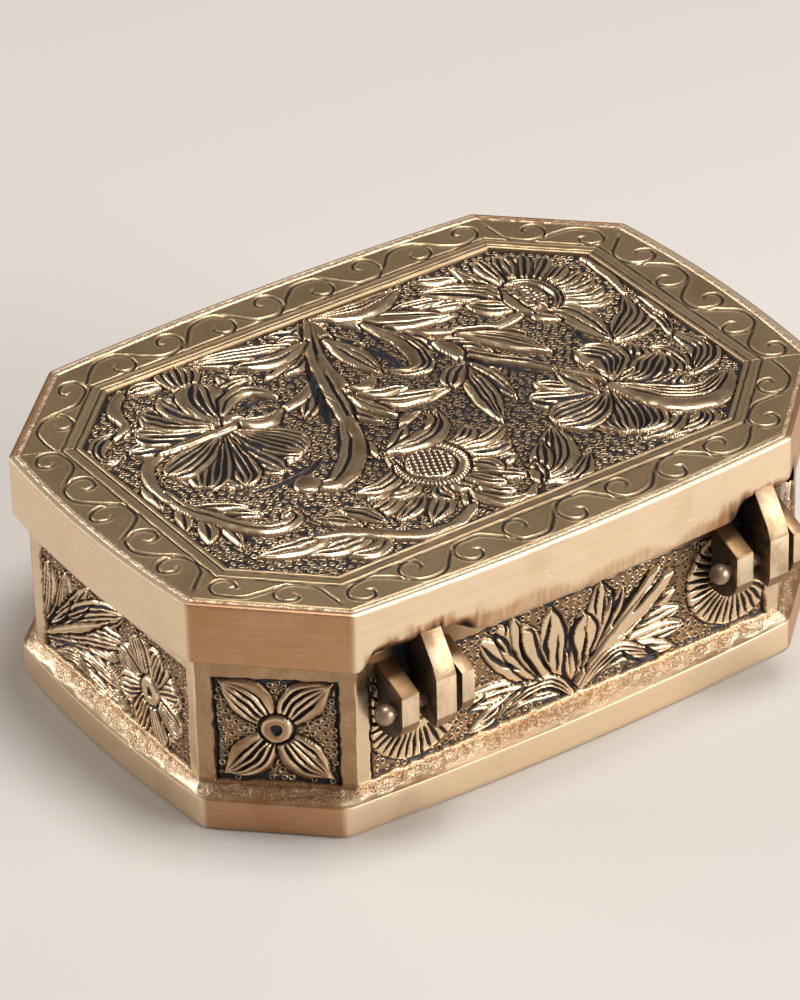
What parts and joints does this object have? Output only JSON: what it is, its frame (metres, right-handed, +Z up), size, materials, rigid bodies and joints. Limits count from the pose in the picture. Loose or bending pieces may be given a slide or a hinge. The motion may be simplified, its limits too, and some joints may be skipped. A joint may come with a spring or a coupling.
{
  "type": "hinged brass box",
  "caption": "Oblong eight-sided cast brass box with a deep hinged lid, carved floral relief on lid and walls, and open lug hinges with ball-headed pins.",
  "frame": {"origin": "middle of the flat underside, on the surface that the box stands on", "axes": "+X along the long side, +Y to the back with the hinges, +Z up"},
  "size_m": [0.154, 0.116, 0.052],
  "materials": {
    "brass_carved": "cast relief, dark patina in the hollows, rubbed bright on top",
    "brass_filed": "filed and brushed, satin",
    "brass_pin": "turned, dull satin"
  },
  "bodies": {
    "base": {"foot_band": "brass_filed", "floor_plate": "brass_filed", "wall_back": "brass_carved", "wall_corner_back_left": "brass_carved", "wall_left": "brass_carved", "wall_corner_front_left": "brass_carved", "wall_front": "brass_carved", "wall_corner_front_right": "brass_carved", "wall_right": "brass_carved", "wall_corner_back_right": "brass_carved", "hinge_right_inner_lug": "brass_filed", "hinge_right_outer_lug": "brass_filed", "hinge_left_inner_lug": "brass_filed", "hinge_left_outer_lug": "brass_filed", "hinge_right_pin": "brass_pin", "hinge_left_pin": "brass_pin"},
    "lid": {"lid_rim": "brass_filed", "lid_plate": "brass_carved", "hinge_right_lid_lug": "brass_filed", "hinge_left_lid_lug": "brass_filed"}
  },
  "joints": [
    {"name": "lid_hinge", "type": "hinge", "parent": "base", "child": "lid", "pos_m": [0, 0.0557, 0.0282], "axis": [-1, 0, 0], "range_deg": [0, 104]}
  ]
}
